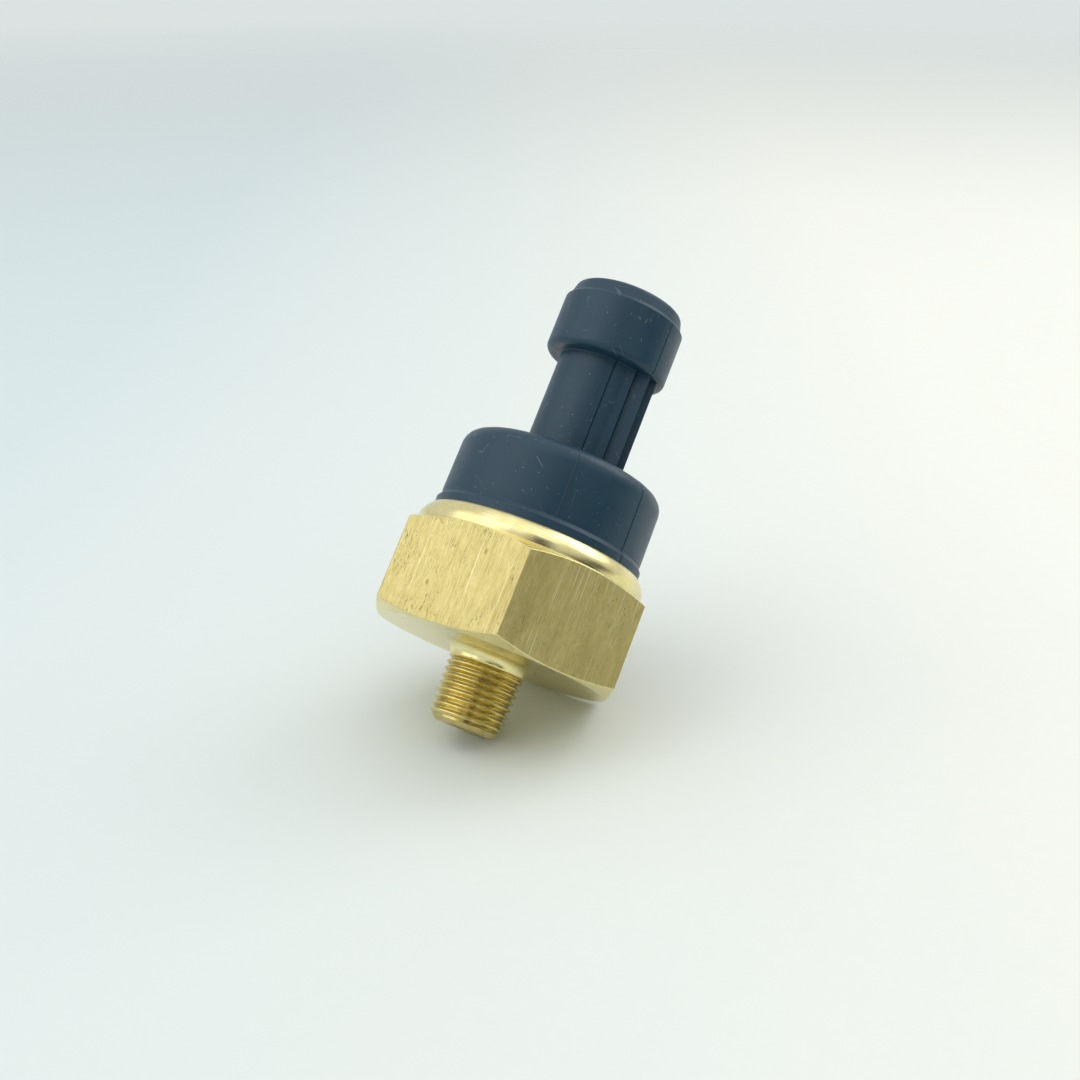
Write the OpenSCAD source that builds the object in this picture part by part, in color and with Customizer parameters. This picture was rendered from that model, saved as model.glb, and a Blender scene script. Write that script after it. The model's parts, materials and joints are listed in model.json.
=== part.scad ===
// Pressure switch: hexagonal brass body with a tapered pipe thread, a crimped
// black connector housing, and a snap-disc changeover contact set inside.
// The axis is Z. The origin is the centre of the hexagon's lower face, the
// connector points to +Z and one corner of the hexagon points to -Y.

/* [Hexagon body] */
// Width across the flats of the hexagon
hex_af = 32; // [31:0.5:34]
// Height of the hexagon from its lower face to its upper face
hex_h = 13.4; // [13.4:0.1:14]
// Height of the corner chamfer at the lower face
hex_chamfer_low = 1.0; // [0.6:0.1:1.4]
// Height of the corner chamfer at the upper face
hex_chamfer_high = 1.2; // [0.6:0.1:1.4]

/* [Port thread] */
// Crest diameter of the tapered thread at its large end
thread_d = 10.4; // [10.2:0.1:10.6]
// Distance between the thread's turns
thread_pitch = 0.941; // [0.9:0.001:1]
// Depth of the thread's groove
thread_depth = 0.6; // [0.4:0.05:0.7]
// Number of grooves cut in the port
thread_turns = 8; // [6:1:8]
// Length of the port below the hexagon
port_len = 10.05; // [10:0.05:11]
// Radius of the passage through the port
port_bore_r = 2.0; // [1.5:0.1:2.5]

/* [Connector housing] */
// Radius of the wide cap above the crimp
cap_r = 14.15; // [13.8:0.05:14.3]
// Height of the top of the cap
cap_top = 27.5; // [27:0.1:28]
// Radius of the round neck
neck_r = 6.2; // [6.1:0.05:6.4]
// Radius of the ring at the end of the neck
head_r = 8.5; // [8.4:0.1:9]
// Height of the lower face of the end ring
head_low = 42.05; // [41.5:0.05:43]
// Height of the mouth of the connector, which is the top of the switch
head_top = 52.25; // [51.5:0.05:54]

/* [Socket and terminals] */
// Radius of the wide bore that takes the plug's seal
mouth_r = 6.6; // [6.4:0.1:6.8]
// Radius of the narrow bore round the terminals
socket_r = 5.0; // [4.8:0.1:5.1]
// Height of the socket's floor
socket_floor = 34; // [33:0.5:36]
// Height of the tips of the terminal blades
blade_top = 43; // [41:0.5:43]
// Width of a terminal blade
blade_w = 1.5; // [1.2:0.1:1.6]
// Thickness of a terminal blade
blade_t = 0.64; // [0.5:0.02:0.7]

/* [Switch mechanism] */
// Travel of the piston between released and pressed
travel = 0.4; // [0.3:0.05:0.4]
// Distance from the contact arm's pivot to the axis
pivot_x = 6.0; // [5.8:0.1:6.2]
// Distance from the axis to the contacts
contact_x = 6.5; // [6.3:0.1:6.6]
// Number of working turns in the return spring
spring_turns = 5; // [4:1:6]

/* [Hidden] */

round_fn = 96;
small_fn = 48;
gap = 0.03;             // free gap between pieces that only just meet
run = 0.05;             // radial clearance of a sliding fit
join = 0.01;            // overlap that joins two shapes of one piece

// Brass body
hex_r = hex_af / 2 / cos(30);
low_face_r = hex_af / 2 - 0.15;     // radius of the flat lower face
high_face_r = hex_af / 2 - 0.05;    // radius of the flat upper face
low_run = hex_r - low_face_r;
high_run = hex_r - high_face_r;
port_fillet = 1.3;
port_tip_r = 3.9;
port_tip_chamfer = 0.9;
taper = 1 / 32;         // change of radius for each millimetre of a pipe thread
thread_start = 1.8;     // from the hexagon to the first groove
groove_flat = 0.12;     // width of a groove's bottom
flank = 30;             // angle between a groove's side and the plane of its turn
cutter_past = 1;        // how far the groove's cutter reaches past the crest
cup_r = 15.05;          // radius inside the crimped cup
shoulder_z = 11;        // step in the cup that the housing stands on
stack_r = 12.6;         // radius of the bore that holds the switch's stack
seat_z = 5;             // face under the diaphragm
chamber_r = 6;
chamber_z = 3.6;
seal_groove_in = 7.6;
seal_groove_out = 9.2;
seal_groove_z = 3.7;
lip_top_r = 14.5;
lip_top_z = 16.2;
lip_out = [[15.82, 14], [15.75, 14.45], [15.48, 15.1], [15.08, 15.7], [lip_top_r, lip_top_z]];
lip_in = [[cup_r, 13.8], [14.95, 14.35], [14.75, 15], [lip_top_r, 15.7]];
port_seal_wire = 0.61;  // radius of the seal ring's section
seal_lift = 0.64;       // height of the seal ring's middle above its groove

// Stack of the pressure side, from the diaphragm upwards
stack_fit_r = stack_r - gap;
rim_z = seat_z + 0.2;   // top of the diaphragm's rim
dish_z = seat_z - 0.4;  // bottom of the diaphragm's pushed-down middle
guide_z = rim_z + 2;    // top of the piston's guide
ring_z = guide_z + 1.5; // top of the ring round the snap disc
film_t = 0.2;           // thickness of the diaphragm
dish_r = 4.9;           // radius of the pushed-down middle of the diaphragm
dish_edge_r = 5.7;      // radius where the diaphragm meets its seat
piston_r = 5;
piston_low = dish_z + film_t + gap;
piston_face = guide_z - 0.2;
piston_chamfer = 0.4;
nose_r = 1.6;
nose_round = 0.3;
disc_r = 8.1;
disc_t = 0.25;
disc_dome = 0.5;        // rise of the snap disc from its middle to its edge
disc_rise = [[0, 0], [2, 0], [5, 0.14], [7.2, 0.48], [disc_r, disc_dome]];
disc_low = ring_z - disc_t - disc_dome;
nose_top = disc_low - gap;
pin_r = 1;
pin_low = disc_low + disc_t + gap;
arm_z = 14;             // underside of the contact arm at rest
arm_t = 0.3;
pin_top = arm_z - gap;
pin_dome = 0.5;         // height of the transfer pin's rounded end
boss_z = 12.2;
boss_r = 2.6;

// Contact set
arm_w = 3.2;
arm_end = 8;
ear_t = 0.3;
ear_half = 1.2;
ear_inset = 0.1;        // from the arm's end to its ears
shank_r = 0.7;          // shank of the moving contact, through the arm
ear_top = 15.8;
pivot_z = 15;
pivot_r = 0.5;
pivot_head_r = 0.8;
pivot_head_t = 0.4;
bracket_in = 1.95;
bracket_out = 2.45;
plate_z = 17.5;         // underside of the terminals' feet
plate_t = 0.5;
base_z = plate_z + plate_t;
base_top = 20.5;
base_r = 11.1;
skirt_in = 10.2;
contact_r = 1.3;
contact_h = 0.5;
crown_r = 0.8;          // flat middle of a contact's face
crown_drop = 0.05;
edge_drop = 0.2;
lift = (pivot_x + contact_x) * travel / pivot_x;
closed_gap = 0.06;      // gap left between the contacts at full travel
open_face = arm_z + arm_t + contact_h + lift + closed_gap;
closed_face = arm_z - contact_h - gap;
lower_plate_z = 12.3;
common_x = -2.6;
side_x = 1.6;
side_y = 2.2;
tip_len = 0.6;          // slim end of a terminal blade
tip_slim_w = 0.5;
tip_slim_t = 0.3;
bracket_end = 2;        // reach of the common terminal's plate past the pivot
bracket_half = 1.2;
foot_near = 5.2;        // plates that carry the fixed contacts, along X
foot_far = 8;
open_foot_y = -1.5;
drop_y = -6.3;          // outer face of the closed terminal's leg
drop_w = 2;
lower_far = 7.8;
lower_y = -4.8;
closed_foot_y = 1.4;
rivets = [[-4.2, 0], [3.6, side_y], [2.3, -4.6]];
rivet_r = 0.6;
rivet_head_r = 1.1;
rivet_crown_r = 0.7;
rivet_h = 0.45;
spring_r = 1.6;
spring_wire = 0.2;

// Housing
chamber_top = 22;
chamber_in = 9.8;
chamber_r_top = 11.2;
sealant_z = socket_floor - 1;
mouth_z = 43.5;
step_r = 13.3;          // radius of the step that holds the seal ring
step_z = 12.5;
housing_seal_wire = 0.7;
flange_r = 14.45;       // radius of the housing just above the lip
flange_z = 17.15;
cove = [[14.25, 17.45], [cap_r, 18]];
cap_draft = 0.1;        // how much the cap narrows towards its top
cap_round = 2.2;
head_round = 0.9;       // round corner at the lower face of the end ring
rim_line = [[head_r, head_top - 2.4], [7.95, head_top - 1.75], [7.85, head_top - 0.9]];
rim_middle_r = 7.05;    // centre of the rim's round edge
rim_round = 0.8;
key_w = 3;
key_x = 5.9;
rail_w = 9.1;
rail_x = 6.3;
ridge_w = 6;
ridge_x = 7.35;

// Body of revolution from a list of [radius, height] points
module turned(points, fn = round_fn) {
    rotate_extrude($fn = fn) polygon(points);
}

// Points of a round corner about [r, z], from angle a to angle b
function corner(r, z, rad, a, b, steps = 5) =
    [for (i = [0:steps]) let (t = a + (b - a) * i / steps) [r + rad * cos(t), z + rad * sin(t)]];

// The same list from its end to its start
function reversed(list) = [for (i = [len(list) - 1:-1:0]) list[i]];

// Half outline of a contact's button, from the middle of its face to its back
function button(face, back) = let (s = sign(back - face))
    [[0, face], [crown_r, face + s * crown_drop], [contact_r, face + s * edge_drop],
        [contact_r, back]];

// Upright blade of a terminal, centred on [x, y]
module blade(x, y, z0, z1, w = blade_w, t = blade_t) {
    translate([x - t / 2, y - w / 2, z0]) cube([t, w, z1 - z0]);
}

// Blade of a terminal with its slim end
module terminal_blade(x, y) {
    blade(x, y, plate_z, blade_top - tip_len);
    blade(x, y, blade_top - tip_len - join, blade_top, blade_w - tip_slim_w, blade_t - tip_slim_t);
}

// Ring of round section
module seal_ring(r, z, wire) {
    rotate_extrude($fn = round_fn) translate([r, z]) circle(r = wire, $fn = small_fn / 2);
}

// Flat piece between two corners at a height
module plate(x0, x1, y0, y1, z, t) {
    translate([x0, y0, z]) cube([x1 - x0, y1 - y0, t]);
}

function thread_r(z) = thread_d / 2 + (z + thread_start) * taper;

module hex_body() {
    color([0.83, 0.72, 0.36])
    difference() {
        union() {
            intersection() {
                rotate([0, 0, -90]) cylinder(r = hex_r, h = hex_h, $fn = 6);
                turned([[0, 0], [low_face_r, 0], [low_face_r + 2 * low_run, 2 * hex_chamfer_low],
                    [high_face_r + 2 * high_run, hex_h - 2 * hex_chamfer_high],
                    [high_face_r, hex_h], [0, hex_h]]);
            }
            turned(concat([[0, -port_len], [port_tip_r, -port_len],
                [thread_r(port_tip_chamfer - port_len), port_tip_chamfer - port_len],
                [thread_r(-port_fillet), -port_fillet]],
                corner(thread_r(-port_fillet) + port_fillet, -port_fillet, port_fillet, 170, 90),
                [[thread_r(-port_fillet) + port_fillet, join], [0, join]]));
            turned(concat([[stack_r, hex_h - join], [lip_out[0][0], hex_h - join]], lip_out,
                [[stack_r, lip_top_z]]));
        }
        for (i = [0:thread_turns - 1]) {
            let (z = -thread_start - i * thread_pitch, root = thread_r(z) - thread_depth,
                past = root + thread_depth + cutter_past,
                wide = groove_flat / 2 + (past - root) * tan(flank))
            turned([[root, z - groove_flat / 2], [past, z - wide], [past, z + wide],
                [root, z + groove_flat / 2]]);
        }
        translate([0, 0, -port_len - 1]) cylinder(r = port_bore_r, h = port_len + 2 + chamber_z,
            $fn = small_fn);
        translate([0, 0, chamber_z]) cylinder(r = chamber_r, h = shoulder_z, $fn = round_fn);
        turned([[seal_groove_in, seal_groove_z], [seal_groove_out, seal_groove_z],
            [seal_groove_out, seat_z + 1], [seal_groove_in, seat_z + 1]]);
        translate([0, 0, seat_z]) cylinder(r = stack_r, h = shoulder_z, $fn = round_fn);
        turned(concat([[0, shoulder_z], [cup_r, shoulder_z]], lip_in,
            [[lip_top_r - join, lip_top_z + 1], [0, lip_top_z + 1]]));
    }
}

module port_seal_ring() {
    color([0.12, 0.12, 0.13])
    seal_ring((seal_groove_in + seal_groove_out) / 2, seal_groove_z + seal_lift, port_seal_wire);
}

module diaphragm() {
    color([0.80, 0.55, 0.22])
    turned([[0, dish_z], [dish_r, dish_z], [dish_edge_r, seat_z], [stack_fit_r, seat_z],
        [stack_fit_r, rim_z], [dish_edge_r - film_t / 2, rim_z], [dish_r + film_t, dish_z + film_t],
        [0, dish_z + film_t]]);
}

module piston_guide() {
    color([0.72, 0.73, 0.75])
    turned([[piston_r + run, rim_z], [stack_fit_r, rim_z], [stack_fit_r, guide_z],
        [piston_r + run, guide_z]]);
}

module piston() {
    color([0.78, 0.79, 0.80])
    turned(concat([[0, piston_low], [piston_r - piston_chamfer, piston_low],
        [piston_r, piston_low + piston_chamfer], [piston_r, piston_face], [nose_r, piston_face]],
        corner(nose_r - nose_round, nose_top - nose_round, nose_round, 0, 90, 3), [[0, nose_top]]));
}

module disc_ring() {
    color([0.80, 0.68, 0.36])
    turned([[disc_r + 0.2, guide_z], [stack_fit_r, guide_z], [stack_fit_r, ring_z],
        [disc_r + 0.2, ring_z]]);
}

module snap_disc() {
    color([0.70, 0.71, 0.73])
    turned(concat([for (p = disc_rise) [p[0], disc_low + p[1]]],
        [for (p = reversed(disc_rise)) [p[0], disc_low + disc_t + p[1]]]));
}

module pin_guide() {
    color([0.55, 0.36, 0.22])
    difference() {
        union() {
            translate([0, 0, ring_z]) cylinder(r = stack_fit_r, h = shoulder_z - ring_z,
                $fn = round_fn);
            translate([0, 0, ring_z]) cylinder(r = boss_r, h = boss_z - ring_z, $fn = small_fn);
        }
        translate([0, 0, ring_z - 1]) cylinder(r = pin_r + run, h = boss_z - ring_z + 2,
            $fn = small_fn);
    }
}

module transfer_pin() {
    color([0.93, 0.92, 0.88])
    turned(concat([[0, pin_low], [pin_r, pin_low]],
        [for (i = [0:5]) let (t = 15 * i) [pin_r * cos(t), pin_top - pin_dome + pin_dome * sin(t)]],
        [[0, pin_top]]), small_fn);
}

module contact_arm() {
    color([0.80, 0.55, 0.35])
    difference() {
        union() {
            plate(-pivot_x - ear_half, arm_end, -arm_w / 2, arm_w / 2, arm_z, arm_t);
            for (side = [-1, 1]) {
                translate([ear_inset - pivot_x - ear_half, side * (arm_w / 2 - ear_t) - ear_t / 2,
                    arm_z + arm_t / 2])
                cube([2 * (ear_half - ear_inset), ear_t, ear_top - arm_z - arm_t / 2]);
            }
        }
        translate([-pivot_x, 0, pivot_z]) rotate([90, 0, 0])
        cylinder(r = pivot_r + gap, h = 2 * arm_w, center = true, $fn = small_fn);
        translate([contact_x, 0, arm_z - 1]) cylinder(r = shank_r, h = 2, $fn = small_fn);
    }
}

module moving_contact() {
    color([0.85, 0.86, 0.87])
    translate([contact_x, 0, 0])
    turned(concat(button(arm_z - contact_h, arm_z), [[shank_r, arm_z], [shank_r, arm_z + arm_t]],
        reversed(button(arm_z + arm_t + contact_h, arm_z + arm_t))), small_fn);
}

module pivot_pin() {
    color([0.72, 0.73, 0.75])
    translate([-pivot_x, 0, pivot_z]) rotate([90, 0, 0])
    union() {
        cylinder(r = pivot_r, h = 2 * bracket_out + pivot_head_t, center = true, $fn = small_fn);
        for (side = [-1, 1]) {
            translate([0, 0, side * (bracket_out + pivot_head_t / 2)])
            cylinder(r = pivot_head_r, h = pivot_head_t, center = true, $fn = small_fn);
        }
    }
}

module common_terminal() {
    color([0.84, 0.80, 0.66])
    difference() {
        union() {
            terminal_blade(common_x, 0);
            plate(-pivot_x - bracket_end, common_x + blade_t / 2, -bracket_out, bracket_out,
                plate_z, plate_t);
            for (y = [-bracket_out, bracket_in]) {
                plate(-pivot_x - bracket_half, bracket_half - pivot_x,
                    y, y + bracket_out - bracket_in, pivot_z - 1, plate_z - pivot_z + 1 + join);
            }
        }
        translate([-pivot_x, 0, pivot_z]) rotate([90, 0, 0])
        cylinder(r = pivot_r, h = 4 * bracket_out, center = true, $fn = small_fn);
        rivet_hole(rivets[0]);
    }
}

module rivet_hole(at) {
    translate([at[0], at[1], plate_z - 1])
    cylinder(r = rivet_r, h = base_top - plate_z + 2, $fn = small_fn);
}

module open_terminal() {
    color([0.84, 0.80, 0.66])
    difference() {
        union() {
            terminal_blade(side_x, side_y);
            plate(side_x - blade_t / 2, foot_far, side_y - blade_w / 2, side_y + blade_w / 2,
                plate_z, plate_t);
            plate(foot_near, foot_far, open_foot_y, side_y + blade_w / 2, plate_z, plate_t);
        }
        rivet_hole(rivets[1]);
    }
}

module closed_terminal() {
    left = side_x - blade_t / 2;
    color([0.84, 0.80, 0.66])
    difference() {
        union() {
            terminal_blade(side_x, -side_y);
            plate(left, left + drop_w, drop_y, -side_y + blade_w / 2, plate_z, plate_t);
            plate(left, left + drop_w, drop_y, drop_y + plate_t, lower_plate_z,
                plate_z - lower_plate_z + join);
            plate(left, lower_far, drop_y, lower_y, lower_plate_z, plate_t);
            plate(foot_near, lower_far, drop_y, closed_foot_y, lower_plate_z, plate_t);
        }
        rivet_hole(rivets[2]);
    }
}

module open_contact() {
    color([0.85, 0.86, 0.87])
    translate([contact_x, 0, 0])
    turned(concat(button(open_face, plate_z), [[0, plate_z]]), small_fn);
}

module closed_contact() {
    color([0.85, 0.86, 0.87])
    translate([contact_x, 0, 0])
    turned(concat([[0, lower_plate_z + plate_t]],
        reversed(button(closed_face, lower_plate_z + plate_t))), small_fn);
}

module terminal_rivets() {
    color([0.76, 0.62, 0.30])
    for (at = rivets) {
        translate([at[0], at[1], 0])
        turned([[0, plate_z - rivet_h], [rivet_crown_r, plate_z - rivet_h],
            [rivet_head_r, plate_z - rivet_h / 3], [rivet_head_r, plate_z],
            [rivet_r, plate_z], [rivet_r, base_top],
            [rivet_head_r, base_top], [rivet_head_r, base_top + rivet_h / 3],
            [rivet_crown_r, base_top + rivet_h], [0, base_top + rivet_h]], small_fn);
    }
}

// One closed coil: rings of points along a helix, joined as a tube
module coil(radius, wire, z0, z1, turns, steps = 20, sides = 8) {
    rings = turns * steps;
    points = [for (i = [0:rings]) for (j = [0:sides - 1])
        let (a = 360 * i / steps, b = 360 * j / sides, r = radius + wire * cos(b))
        [r * cos(a), r * sin(a), z0 + wire + (z1 - z0 - 2 * wire) * i / rings + wire * sin(b)]];
    walls = [for (i = [0:rings - 1]) for (j = [0:sides - 1])
        let (k = (j + 1) % sides)
        [i * sides + j, i * sides + k, (i + 1) * sides + k, (i + 1) * sides + j]];
    first = [[for (j = [0:sides - 1]) sides - 1 - j]];
    last = [[for (j = [0:sides - 1]) rings * sides + j]];
    polyhedron(points, concat(walls, first, last), convexity = 10);
}

module return_spring() {
    color([0.66, 0.67, 0.70])
    coil(spring_r, spring_wire, arm_z + arm_t + gap, base_z, spring_turns);
}

module switch_base() {
    color([0.62, 0.20, 0.14])
    difference() {
        translate([0, 0, shoulder_z]) cylinder(r = base_r, h = base_top - shoulder_z,
            $fn = round_fn);
        translate([0, 0, shoulder_z - 1]) cylinder(r = skirt_in, h = base_z - shoulder_z + 1,
            $fn = round_fn);
        blade(common_x, 0, base_z - 1, base_top + 1);
        blade(side_x, side_y, base_z - 1, base_top + 1);
        blade(side_x, -side_y, base_z - 1, base_top + 1);
        for (at = rivets) rivet_hole(at);
    }
}

module terminal_sealant() {
    color([0.10, 0.10, 0.11])
    difference() {
        translate([0, 0, sealant_z]) cylinder(r = socket_r, h = 1, $fn = round_fn);
        blade(common_x, 0, sealant_z - 1, socket_floor + 1);
        blade(side_x, side_y, sealant_z - 1, socket_floor + 1);
        blade(side_x, -side_y, sealant_z - 1, socket_floor + 1);
    }
}

// Outside of the neck: a round column with a stepped rail along its +X side
module neck_column() {
    z0 = cap_top - 1;
    h = head_low - z0 + 1;
    translate([0, 0, z0]) cylinder(r = neck_r, h = h, $fn = round_fn);
    translate([0, -rail_w / 2, z0]) cube([rail_x, rail_w, h]);
    translate([0, -ridge_w / 2, z0]) cube([ridge_x, ridge_w, h]);
}

module connector_housing() {
    color([0.13, 0.15, 0.18])
    difference() {
        union() {
            turned(concat([[0, shoulder_z], [step_r, shoulder_z], [step_r, step_z]],
                [[cup_r - gap, step_z]],
                [for (p = lip_in) [p[0] - gap, p[1]]],
                [[flange_r, lip_top_z], [flange_r, flange_z]], cove,
                corner(cap_r - cap_draft - cap_round, cap_top - cap_round, cap_round, 0, 90),
                [[0, cap_top]]));
            neck_column();
            turned(concat([[0, head_low]],
                corner(head_r - head_round, head_low + head_round, head_round, -90, 0),
                rim_line, corner(rim_middle_r, head_top - rim_round, rim_round, 10, 90),
                [[0, head_top]]));
        }
        translate([0, 0, shoulder_z - 1]) cylinder(r = chamber_r_top, h = base_top - shoulder_z + 1,
            $fn = round_fn);
        translate([0, 0, base_top - 1]) cylinder(r = chamber_in, h = chamber_top - base_top + 1,
            $fn = round_fn);
        translate([0, 0, sealant_z]) cylinder(r = socket_r, h = head_top, $fn = round_fn);
        translate([0, 0, mouth_z]) cylinder(r = mouth_r, h = head_top, $fn = round_fn);
        translate([0, -key_w / 2, socket_floor]) cube([key_x, key_w, head_top - socket_floor]);
        blade(common_x, 0, chamber_top - 1, sealant_z + 1);
        blade(side_x, side_y, chamber_top - 1, sealant_z + 1);
        blade(side_x, -side_y, chamber_top - 1, sealant_z + 1);
    }
}

module housing_seal_ring() {
    color([0.12, 0.12, 0.13])
    seal_ring((step_r + cup_r) / 2, (shoulder_z + step_z) / 2, housing_seal_wire);
}

hex_body();
port_seal_ring();
diaphragm();
piston_guide();
piston();
disc_ring();
snap_disc();
pin_guide();
transfer_pin();
contact_arm();
moving_contact();
pivot_pin();
common_terminal();
open_terminal();
closed_terminal();
open_contact();
closed_contact();
terminal_rivets();
return_spring();
switch_base();
terminal_sealant();
connector_housing();
housing_seal_ring();
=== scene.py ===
import json
import math

import bmesh
import bpy
from mathutils import Matrix, Vector

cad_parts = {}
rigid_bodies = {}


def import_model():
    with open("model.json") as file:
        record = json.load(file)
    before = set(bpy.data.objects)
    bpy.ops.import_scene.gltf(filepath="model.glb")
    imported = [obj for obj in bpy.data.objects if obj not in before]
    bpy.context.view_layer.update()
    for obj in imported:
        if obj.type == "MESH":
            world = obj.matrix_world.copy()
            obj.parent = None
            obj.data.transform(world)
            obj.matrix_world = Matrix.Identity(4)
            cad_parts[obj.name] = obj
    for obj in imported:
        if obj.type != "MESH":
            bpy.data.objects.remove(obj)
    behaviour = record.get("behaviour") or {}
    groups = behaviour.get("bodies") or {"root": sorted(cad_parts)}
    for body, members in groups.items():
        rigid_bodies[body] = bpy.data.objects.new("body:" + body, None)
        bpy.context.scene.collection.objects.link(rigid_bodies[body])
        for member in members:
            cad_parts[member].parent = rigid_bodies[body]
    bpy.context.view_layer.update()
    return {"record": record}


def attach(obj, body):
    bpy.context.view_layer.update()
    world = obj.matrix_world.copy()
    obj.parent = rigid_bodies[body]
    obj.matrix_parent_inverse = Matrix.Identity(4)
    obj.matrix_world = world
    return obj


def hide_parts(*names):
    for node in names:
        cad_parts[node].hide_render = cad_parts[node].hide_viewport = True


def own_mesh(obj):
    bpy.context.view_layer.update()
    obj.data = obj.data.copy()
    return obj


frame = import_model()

MM = 0.001
ROOT = "switch_body"
scene = bpy.context.scene


# ---------------------------------------------------------------- camera

LENS_MM = 50.0
SENSOR_MM = 36.0
AIM = Vector((0.43, 0.0, 16.93)) * MM     # point near the axis that the camera looks at
AIM_DISTANCE = 199.8 * MM
CAMERA_AZIMUTH = math.radians(0.61)
CAMERA_ELEVATION = math.radians(-10.31)   # the switch leans back, so the camera sees its underside
CAMERA_ROLL = math.radians(21.45)
LOOK_DOWN = math.radians(24.3)            # how steeply the camera looks down at the floor


def camera_axes():
    """Right, up and forward of the camera in the switch's own frame."""
    a, e = CAMERA_AZIMUTH, CAMERA_ELEVATION
    forward = -Vector((math.sin(a) * math.cos(e), -math.cos(a) * math.cos(e), math.sin(e)))
    level_right = forward.cross(Vector((0, 0, 1))).normalized()
    level_up = level_right.cross(forward)
    right = level_right * math.cos(CAMERA_ROLL) + level_up * math.sin(CAMERA_ROLL)
    return right, right.cross(forward), forward


RIGHT, UP, FORWARD = camera_axes()
FLOOR_UP = UP * math.cos(LOOK_DOWN) - FORWARD * math.sin(LOOK_DOWN)
FLOOR_AWAY = (FORWARD - FLOOR_UP * FORWARD.dot(FLOOR_UP)).normalized()
FLOOR_RIGHT = FLOOR_AWAY.cross(FLOOR_UP)


def make_camera():
    data = bpy.data.cameras.new("camera")
    data.lens = LENS_MM
    data.sensor_width = SENSOR_MM
    data.clip_start = 0.01
    data.clip_end = 20
    camera = bpy.data.objects.new("camera", data)
    scene.collection.objects.link(camera)
    turn = Matrix((RIGHT, UP, -FORWARD)).transposed().to_4x4()
    camera.matrix_world = Matrix.Translation(AIM - FORWARD * AIM_DISTANCE) @ turn
    scene.camera = camera


# ---------------------------------------------------------------- node helpers

class Nodes:
    """Short calls for building one node tree."""

    def __init__(self, tree):
        self.tree = tree
        self.tree.nodes.clear()

    def add(self, kind, inputs=None, **settings):
        node = self.tree.nodes.new(kind)
        for key, value in settings.items():
            setattr(node, key, value)
        for key, value in (inputs or {}).items():
            self.put(value, node.inputs[key])
        return node

    def put(self, value, socket):
        if isinstance(value, bpy.types.NodeSocket):
            self.tree.links.new(value, socket)
        else:
            socket.default_value = value

    def spot(self, scale=(1, 1, 1), turn=(0, 0, 0)):
        """Object coordinates in millimetres, scaled along each axis and then turned."""
        place = self.add("ShaderNodeTexCoord").outputs["Object"]
        size = [s / MM for s in scale]
        return self.add("ShaderNodeMapping", {
            "Vector": place, "Scale": size, "Rotation": turn}).outputs[0]

    def noise(self, place, scale, detail=4.0, rough=0.55):
        return self.add("ShaderNodeTexNoise", {
            "Vector": place, "Scale": scale, "Detail": detail, "Roughness": rough}).outputs["Fac"]

    def cells(self, place, scale):
        """Distance to the nearest of the scattered points."""
        return self.add("ShaderNodeTexVoronoi", {"Vector": place, "Scale": scale},
                        feature="F1").outputs["Distance"]

    def ramp(self, value, low, high, out_low=0.0, out_high=1.0):
        """Straight line between two values, clamped at its ends."""
        return self.add("ShaderNodeMapRange", {
            "Value": value, "From Min": low, "From Max": high,
            "To Min": out_low, "To Max": out_high}, clamp=True).outputs[0]

    def math(self, how, a, b=0.0):
        return self.add("ShaderNodeMath", {0: a, 1: b}, operation=how).outputs[0]

    def mix(self, amount, a, b):
        """Colour mix. The colour sockets of this node are numbers 6, 7 and, for the result, 2."""
        return self.add("ShaderNodeMix", {0: amount, 6: a, 7: b}, data_type="RGBA").outputs[2]

    def bump(self, height, distance, strength=1.0, normal=None):
        inputs = {"Height": height, "Distance": distance * MM, "Strength": strength}
        if normal is not None:
            inputs["Normal"] = normal
        return self.add("ShaderNodeBump", inputs).outputs[0]

    def surface(self, inputs):
        shader = self.add("ShaderNodeBsdfPrincipled", inputs)
        out = self.add("ShaderNodeOutputMaterial")
        self.tree.links.new(shader.outputs[0], out.inputs[0])


def new_material(name):
    material = bpy.data.materials.new(name)
    material.use_nodes = True
    return material, Nodes(material.node_tree)


def rgb(r, g, b):
    """Linear colour from display values of 0 to 255."""
    return tuple(((v / 255 + 0.055) / 1.055) ** 2.4 if v > 10 else v / 255 / 12.92
                 for v in (r, g, b)) + (1.0,)


# ---------------------------------------------------------------- materials

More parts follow.
